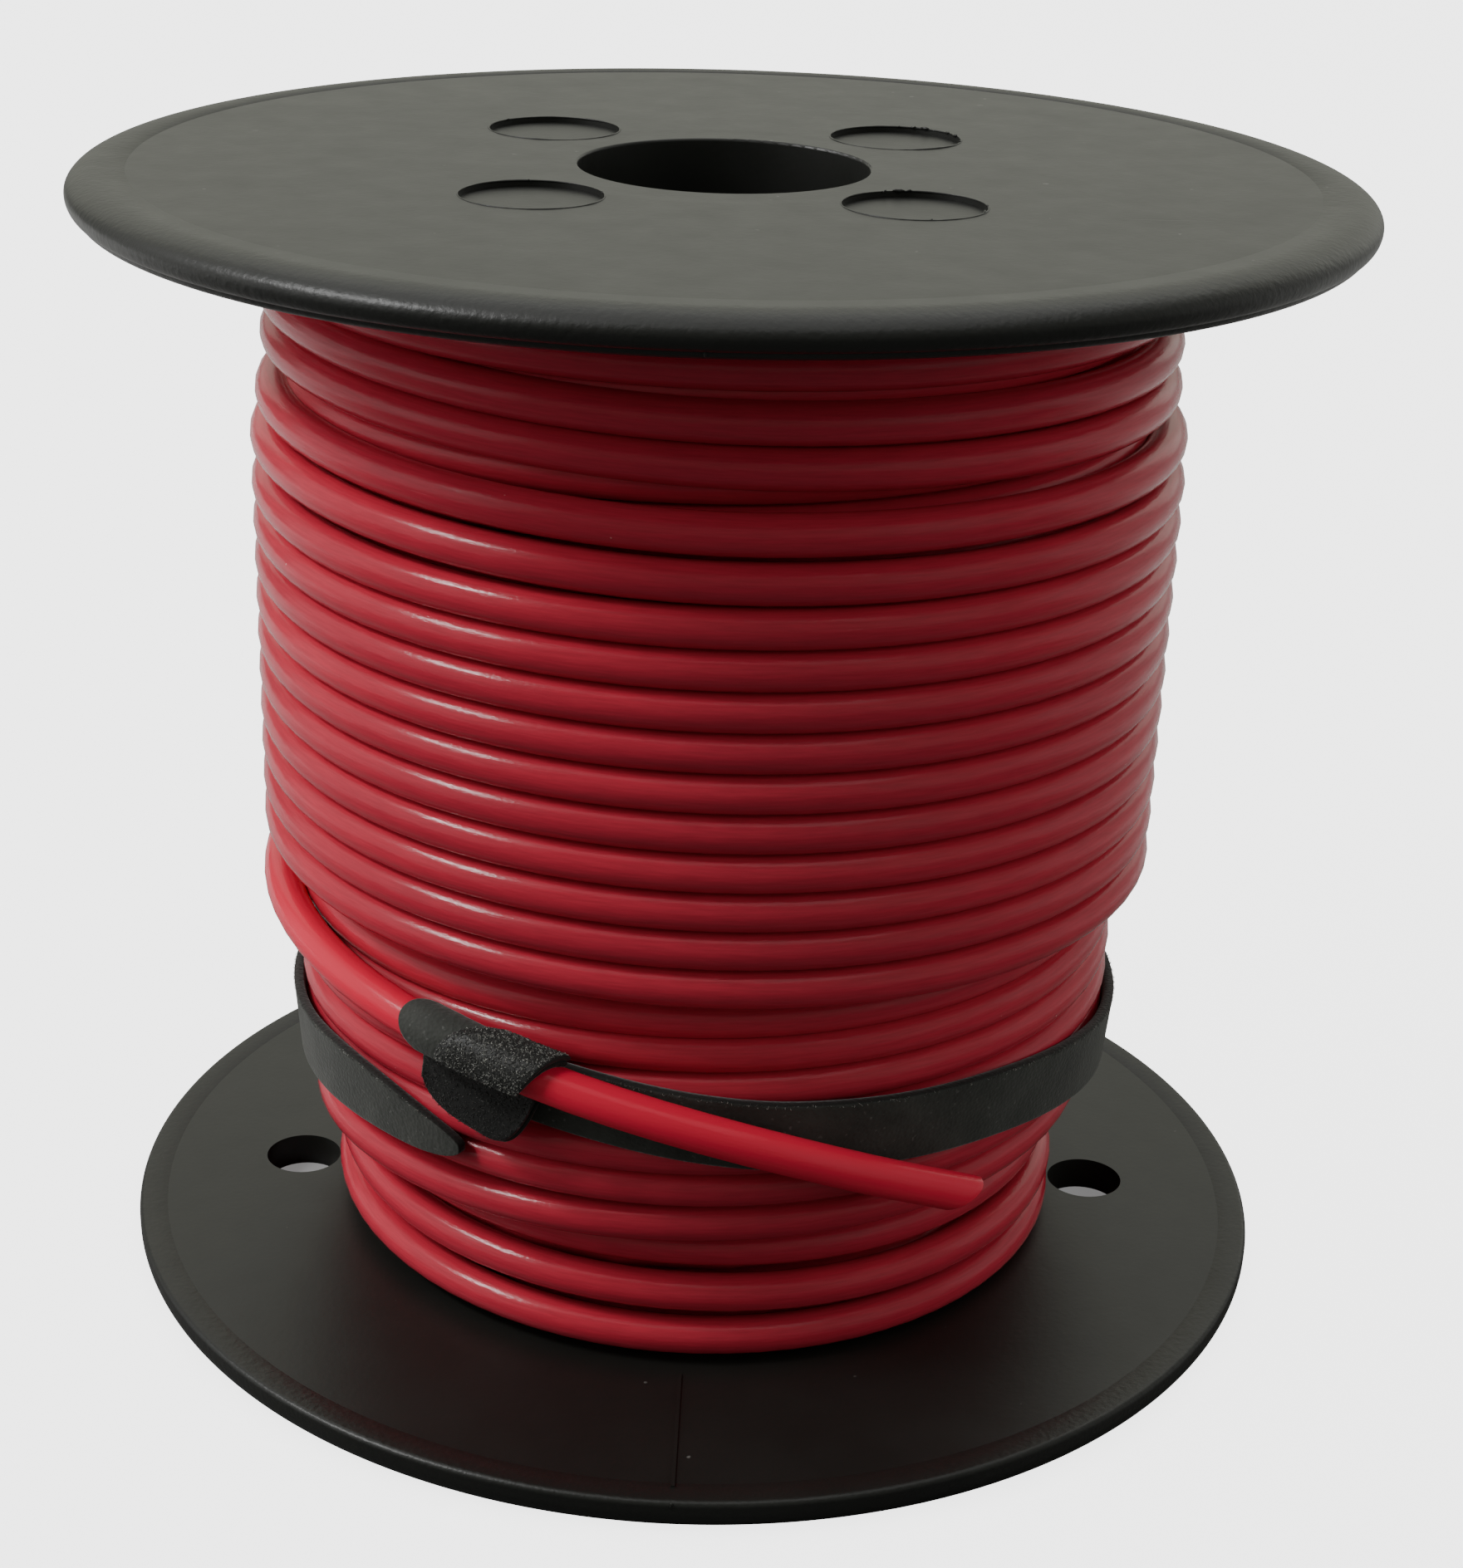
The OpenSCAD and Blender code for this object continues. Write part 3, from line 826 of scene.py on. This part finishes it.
def mix(tree, factor, factor_socket, first, second, blend="MIX"):
    """Mixes two colours; each is an RGB tuple or a (node, socket) pair."""
    node = tree.nodes.new("ShaderNodeMix")
    node.data_type = "RGBA"
    node.blend_type = blend
    if isinstance(factor, (int, float)):
        node.inputs[0].default_value = factor
    else:
        tree.links.new(factor.outputs[factor_socket], node.inputs[0])
    for index, value in ((6, first), (7, second)):
        if isinstance(value[0], (int, float)):
            node.inputs[index].default_value = (*value, 1)
        else:
            tree.links.new(value[0].outputs[value[1]], node.inputs[index])
    return node


def bump(tree, source, socket, distance, strength=1.0, before=None):
    """A bump from a value, on top of an earlier one."""
    node = add(tree, "Bump", Strength=strength, Distance=distance)
    link(tree, source, socket, node, "Height")
    if before is not None:
        link(tree, before, "Normal", node, "Normal")
    return node


# Lengths back from the wire's end at which the loose end starts to grow brighter and redder, and
# at which it is brightest
BRIGHTENS_FROM_END, BRIGHTEST_FROM_END = 0.045, 0.015


def insulation_material():
    """Satin red PVC, drawn out lengthwise by the extruder, with dust and scuffs."""
    material, tree, shader = new_material("red_pvc")
    straight = add(tree, "Attribute", attribute_name="straight")
    slow = noise(tree, stretched(tree, straight, "Vector", (25, 300, 300)), 1.0, 2)
    streak = noise(tree, stretched(tree, straight, "Vector", (350, 5200, 5200)), 1.0, 3, 0.55)
    grain = noise(tree, stretched(tree, straight, "Vector", (2600, 5200, 5200)), 1.0, 2)
    scuff = noise(tree, stretched(tree, straight, "Vector", (90, 1600, 1600)), 1.0, 5, 0.7)
    dust = noise(tree, stretched(tree, straight, "Vector", (1500, 1500, 1500)), 1.0, 1)

    reds = [(0.3, (0.45, 0.0240, 0.0470)), (0.7, (0.52, 0.0290, 0.0540))]
    tone = ramp(tree, slow, "Fac", reds)
    fine = ramp(tree, streak, "Fac", [(0.3, 0.84), (0.65, 1.0)])
    body = mix(tree, 1.0, None, (tone, "Color"), (fine, "Color"), "MULTIPLY")
    chalk = ramp(tree, scuff, "Fac", [(0.66, 0.0), (0.8, 0.16)])
    worn = mix(tree, chalk, "Color", (body, 2), (0.62, 0.10, 0.12))
    specks = ramp(tree, dust, "Fac", [(0.84, 0.0), (0.87, 0.6)])
    dusty = mix(tree, specks, "Color", (worn, 2), (0.75, 0.45, 0.42))
    # The loose end grows brighter and redder than the wound turns towards its tip
    apart = add(tree, "SeparateXYZ")
    link(tree, straight, "Vector", apart, "Vector")
    toward_tip = add(tree, "MapRange")
    toward_tip.inputs["From Min"].default_value = WIRE_LENGTH - BRIGHTENS_FROM_END
    toward_tip.inputs["From Max"].default_value = WIRE_LENGTH - BRIGHTEST_FROM_END
    link(tree, apart, "X", toward_tip, "Value")
    brighter_tip = mix(tree, toward_tip, "Result", (dusty, 2), (0.72, 0.021, 0.056))
    tree.links.new(brighter_tip.outputs[2], shader.inputs["Base Color"])

    gloss = ramp(tree, scuff, "Fac", [(0.35, 0.15), (0.75, 0.28)])
    tree.links.new(gloss.outputs["Color"], shader.inputs["Roughness"])
    lines = bump(tree, streak, "Fac", 0.016 * MM, 0.8)
    pits = bump(tree, grain, "Fac", 0.014 * MM, 0.9, lines)
    waves = bump(tree, slow, "Fac", 0.10 * MM, 0.5, pits)
    link(tree, waves, "Normal", shader, "Normal")
    shader.inputs["Specular IOR Level"].default_value = 0.3
    return material


def plastic_material(name, grain_depth):
    """Black satin moulded plastic: fine grain, scratches, dust and a sink ring."""
    material, tree, shader = new_material(name)
    place = add(tree, "TexCoord")
    grain = add(tree, "TexNoise", Scale=1900.0, Detail=3.0)
    link(tree, place, "Object", grain, "Vector")
    cloud = add(tree, "TexNoise", Scale=38.0, Detail=4.0, Roughness=0.6)
    link(tree, place, "Object", cloud, "Vector")
    peel = add(tree, "TexNoise", Scale=260.0, Detail=3.0, Roughness=0.6)
    link(tree, place, "Object", peel, "Vector")
    scratch_sets = []
    for turn, across in ((0.5, 900), (1.7, 1200), (2.6, 700)):
        lines = add(tree, "Mapping")
        lines.inputs["Rotation"].default_value = (0, 0, turn)
        lines.inputs["Scale"].default_value = (24, across, 40)
        link(tree, place, "Object", lines, "Vector")
        scratch = noise(tree, lines, 1.0, 3, 0.65)
        scratch_sets.append(ramp(tree, scratch, "Fac", [(0.735, 0.0), (0.79, 1.0)]))
    scratches = mix(tree, 1.0, None, (scratch_sets[0], "Color"), (scratch_sets[1], "Color"), "ADD")
    scratches = mix(tree, 1.0, None, (scratches, 2), (scratch_sets[2], "Color"), "ADD")

    specks = add(tree, "TexNoise", Scale=900.0, Detail=1.0)
    link(tree, place, "Object", specks, "Vector")
    dust = ramp(tree, specks, "Fac", [(0.80, 0.0), (0.84, 0.8)])

    blacks = [(0.3, (0.0085, 0.0090, 0.0078)), (0.7, (0.0135, 0.0140, 0.0122))]
    tone = ramp(tree, cloud, "Fac", blacks)
    marked = mix(tree, scratches, 2, (tone, "Color"), (0.026, 0.026, 0.023))
    dusty = mix(tree, dust, "Color", (marked, 2), (0.14, 0.14, 0.13))
    tree.links.new(dusty.outputs[2], shader.inputs["Base Color"])

    gloss = ramp(tree, peel, "Fac", [(0.25, 0.38), (0.75, 0.43)])
    tree.links.new(gloss.outputs["Color"], shader.inputs["Roughness"])
    # The barrel's wall shows through the flange as a shallow sink ring
    flat = add(tree, "VectorMath", operation="MULTIPLY")
    flat.inputs[1].default_value = (1, 1, 0)
    tree.links.new(place.outputs["Object"], flat.inputs[0])
    length = add(tree, "VectorMath", operation="LENGTH")
    tree.links.new(flat.outputs["Vector"], length.inputs[0])
    sink = add(tree, "MapRange", interpolation_type="SMOOTHSTEP")
    sink.inputs["From Min"].default_value = BARREL_R - 0.4 * MM
    sink.inputs["From Max"].default_value = BARREL_R + 1.4 * MM
    tree.links.new(length.outputs["Value"], sink.inputs["Value"])
    ring = bump(tree, sink, "Result", 0.02 * MM, 1.0)
    fine = bump(tree, grain, "Fac", grain_depth, 0.8, ring)
    cut = bump(tree, scratches, 2, -0.02 * MM, 0.5, fine)
    peeled = bump(tree, peel, "Fac", 0.009 * MM, 0.6, cut)
    waves = bump(tree, cloud, "Fac", 0.05 * MM, 0.4, peeled)
    link(tree, waves, "Normal", shader, "Normal")
    return material


def copper_material():
    """Bright drawn copper with lengthwise lines and a little tarnish."""
    material, tree, shader = new_material("bare_copper")
    place = add(tree, "TexCoord")
    tarnish = add(tree, "TexNoise", Scale=900.0, Detail=3.0)
    link(tree, place, "Object", tarnish, "Vector")
    tone = ramp(tree, tarnish, "Fac", [(0.35, (0.82, 0.38, 0.20)), (0.75, (0.50, 0.20, 0.10))])
    link(tree, tone, "Color", shader, "Base Color")
    gloss = ramp(tree, tarnish, "Fac", [(0.3, 0.22), (0.8, 0.45)])
    tree.links.new(gloss.outputs["Color"], shader.inputs["Roughness"])
    shader.inputs["Metallic"].default_value = 1
    fine = bump(tree, tarnish, "Fac", 0.01 * MM, 0.5)
    link(tree, fine, "Normal", shader, "Normal")
    return material


def tape_material():
    """Smooth side of the tie: closely knitted black nylon, with painted shade darkening its edges.
    """
    material, tree, shader = new_material("hook_tape")
    place = add(tree, "TexCoord")
    knit = add(tree, "TexVoronoi", Scale=3000.0)
    link(tree, place, "Object", knit, "Vector")
    cloud = add(tree, "TexNoise", Scale=260.0, Detail=4.0, Roughness=0.6)
    link(tree, place, "Object", cloud, "Vector")
    specks = add(tree, "TexNoise", Scale=2200.0, Detail=1.0)
    link(tree, place, "Object", specks, "Vector")
    rim = add(tree, "Attribute", attribute_name="rim")
    tone = ramp(tree, cloud, "Fac", [(0.3, (0.030, 0.032, 0.028)), (0.7, (0.050, 0.052, 0.046))])
    hooks = ramp(tree, specks, "Fac", [(0.68, 0.0), (0.78, 0.5)])
    pale = mix(tree, hooks, "Color", (tone, "Color"), (0.14, 0.14, 0.13))
    # Painted shade: the tape turns near black towards its edges
    painted_edge_shade = ramp(tree, rim, "Fac", [(0.35, 0.0), (0.75, 0.85)])
    edged = mix(tree, painted_edge_shade, "Color", (pale, 2), (0.008, 0.008, 0.0075))
    tree.links.new(edged.outputs[2], shader.inputs["Base Color"])
    shader.inputs["Roughness"].default_value = 0.75
    shader.inputs["Sheen Weight"].default_value = 0.2
    shader.inputs["Sheen Roughness"].default_value = 0.4
    shader.inputs["Specular IOR Level"].default_value = 0.25
    fine = bump(tree, knit, "Distance", 0.05 * MM, 0.8)
    soft = bump(tree, cloud, "Fac", 0.12 * MM, 0.6, fine)
    link(tree, soft, "Normal", shader, "Normal")
    return material


# The fibres' dark, middle and light tones on the keeper, the light one a painted glint, and a
# darker copy of all three for the lobe as painted shade, since it lies under the pad
FIBRES = ((0.018, 0.0185, 0.017), (0.050, 0.051, 0.046), (0.55, 0.55, 0.50))
SHADED_FIBRES = ((0.008, 0.0082, 0.0075), (0.022, 0.0225, 0.020), (0.12, 0.12, 0.11))


def loop_material(name, dark, mid, light):
    """Fibres of the tie's loop side, a few painted pale as glints, with painted shade darkening
    the edges.
    """
    material, tree, shader = new_material(name)
    shade = add(tree, "Attribute", attribute_name="shade")
    place = add(tree, "TexCoord")
    cloud = add(tree, "TexNoise", Scale=1400.0, Detail=3.0)
    link(tree, place, "Object", cloud, "Vector")
    # The light tone, given to a few fibres, is a painted glint
    tone = ramp(tree, shade, "Fac", [(0.0, dark), (0.65, mid), (0.97, light)])
    patchy = ramp(tree, cloud, "Fac", [(0.3, 0.6), (0.7, 1.0)])
    body = mix(tree, 1.0, None, (tone, "Color"), (patchy, "Color"), "MULTIPLY")
    rim = add(tree, "Attribute", attribute_name="rim")
    # Painted shade: the fibres turn near black towards the edges
    painted_edge_shade = ramp(tree, rim, "Fac", [(0.35, 0.0), (0.75, 0.85)])
    edged = mix(tree, painted_edge_shade, "Color", (body, 2), (0.006, 0.006, 0.0055))
    tree.links.new(edged.outputs[2], shader.inputs["Base Color"])
    shader.inputs["Roughness"].default_value = 0.5
    shader.inputs["Sheen Weight"].default_value = 0.1
    soft = bump(tree, cloud, "Fac", 0.08 * MM, 0.7)
    link(tree, soft, "Normal", shader, "Normal")
    return material


# --- Stage -------------------------------------------------------------------------------

FLOOR_REACH = 3.0
FLOOR_GLOW = 4.5
# The floor's glow under the spool, kept low as a painted shadow
PAINTED_SHADOW_GLOW = 0.25
BACKDROP_GLOW = 3.7
# From how far inside the flange's edge to how far past it the painted shadow under the spool fades
# out and the floor's glow comes up
SHADOW_FADE_FROM, SHADOW_FADE_TO = -12 * MM, 2 * MM
# The floor throws back less light before the spool than behind it, between these places
DIM_FROM, DIM_TO = -0.05, 0.12
MIDDLE = (0, 0, 0.05)


def make_floor():
    """A plain pale floor with a painted shadow under the spool, that throws little light back up
    at the spool's front.
    """
    mesh = bpy.data.meshes.new("floor")
    square = ((-1, -1), (1, -1), (1, 1), (-1, 1))
    corners = [(x * FLOOR_REACH, y * FLOOR_REACH, 0) for x, y in square]
    mesh.from_pydata(corners, [], [(0, 1, 2, 3)])
    material, tree, shader = new_material("pale_floor")
    shader.inputs["Base Color"].default_value = (0.9, 0.9, 0.9, 1)
    shader.inputs["Roughness"].default_value = 0.9
    glow = add(tree, "Emission")
    pale = add(tree, "MixShader", Fac=0.8)
    tree.links.new(shader.outputs["BSDF"], pale.inputs[1])
    tree.links.new(glow.outputs["Emission"], pale.inputs[2])
    place = add(tree, "TexCoord")
    away = add(tree, "VectorMath", operation="LENGTH")
    tree.links.new(place.outputs["Object"], away.inputs[0])
    # Painted shadow: the floor glows less under the spool
    under = add(tree, "MapRange", interpolation_type="SMOOTHSTEP")
    under.inputs["From Min"].default_value = FLANGE_R + SHADOW_FADE_FROM
    under.inputs["From Max"].default_value = FLANGE_R + SHADOW_FADE_TO
    under.inputs["To Min"].default_value = PAINTED_SHADOW_GLOW
    under.inputs["To Max"].default_value = FLOOR_GLOW
    tree.links.new(away.outputs["Value"], under.inputs["Value"])
    link(tree, under, "Result", glow, "Strength")
    apart = add(tree, "SeparateXYZ")
    link(tree, place, "Object", apart, "Vector")
    depth = add(tree, "MapRange")
    depth.inputs["From Min"].default_value = DIM_FROM
    depth.inputs["From Max"].default_value = DIM_TO
    link(tree, apart, "Y", depth, "Value")
    tone = ramp(tree, depth, "Result", [(0.0, 0.10), (1.0, 0.75)])
    dim = add(tree, "BsdfDiffuse")
    link(tree, tone, "Color", dim, "Color")
    seen = add(tree, "LightPath")
    either = add(tree, "MixShader")
    tree.links.new(seen.outputs["Is Camera Ray"], either.inputs["Fac"])
    tree.links.new(dim.outputs["BSDF"], either.inputs[1])
    tree.links.new(pale.outputs["Shader"], either.inputs[2])
    tree.links.new(either.outputs["Shader"], tree.nodes["Material Output"].inputs["Surface"])
    mesh.materials.append(material)
    floor = bpy.data.objects.new("floor", mesh)
    bpy.context.scene.collection.objects.link(floor)


def area_light(name, at, aim, size, power, colour=(1, 1, 1), mirrored=True, lit=True):
    """A soft light that can be kept out of reflections, or be in nothing but reflections."""
    data = bpy.data.lights.new(name, "AREA")
    data.shape = "RECTANGLE"
    data.size, data.size_y = size
    data.energy = power
    data.color = colour
    light = bpy.data.objects.new(name, data)
    light.location = at
    light.rotation_mode = "QUATERNION"
    light.rotation_quaternion = (Vector(aim) - Vector(at)).to_track_quat("-Z", "Y")
    light.visible_glossy = mirrored
    light.visible_diffuse = lit
    bpy.context.scene.collection.objects.link(light)


def make_lights():
    """Soft studio light: a key high on the left, broad fills and sheens, and a dim room."""
    world = bpy.data.worlds.new("studio")
    world.use_nodes = True
    tree = world.node_tree
    room = tree.nodes["Background"]
    room.inputs["Color"].default_value = (0.98, 1.0, 0.88, 1)
    room.inputs["Strength"].default_value = 0.20
    backdrop = add(tree, "Background", Strength=BACKDROP_GLOW)
    seen = add(tree, "LightPath")
    either = add(tree, "MixShader")
    tree.links.new(seen.outputs["Is Camera Ray"], either.inputs["Fac"])
    tree.links.new(room.outputs["Background"], either.inputs[1])
    tree.links.new(backdrop.outputs["Background"], either.inputs[2])
    tree.links.new(either.outputs["Shader"], tree.nodes["World Output"].inputs["Surface"])
    bpy.context.scene.world = world
    area_light("key", (-0.66, -0.18, 0.73), MIDDLE, (0.30, 0.09), 4.2)
    area_light("left_fill", (-1.4, 0.25, 0.6), MIDDLE, (2.0, 1.5), 23, mirrored=False)
    area_light("left_sheen", (-1.4, -0.1, 0.6), MIDDLE, (2.2, 1.6), 5)
    area_light("right_fill", (1.4, -0.3, 0.5), MIDDLE, (2.0, 1.4), 10, mirrored=False)
    area_light("right_sheen", (1.6, 0.9, 0.4), MIDDLE, (2.4, 1.4), 3)
    area_light("overhead", (0, 0.3, 1.4), (0, 0.3, 0), (1.8, 2.4), 12, lit=False)
    area_light("back_wall", (0.1, 1.6, 0.85), (0, 0, 0.1), (3.0, 1.6), 8, (0.98, 1.0, 0.86))


def dress(node, material):
    """Gives a CAD node that stays in view its material."""
    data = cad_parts[node].data
    data.materials.clear()
    data.materials.append(material)


# --- The model ---------------------------------------------------------------------------

make_camera()
make_wire(insulation_material())
plastic = plastic_material("black_plastic", 0.016 * MM)
copper = copper_material()
fibres = loop_material("loop_tape", *FIBRES)
# A darker copy of the loop tape for the lobe: painted shade
shaded_fibres = loop_material("shaded_loop_tape", *SHADED_FIBRES)
make_tie(tape_material(), fibres, shaded_fibres)
make_flash(plastic)
make_rims(plastic_material("worn_plastic", 0.06 * MM))
dress("spool", plastic)
for strands in ("core_strand", "inner_strands", "outer_strands"):
    dress(strands, copper)
make_floor()
make_lights()
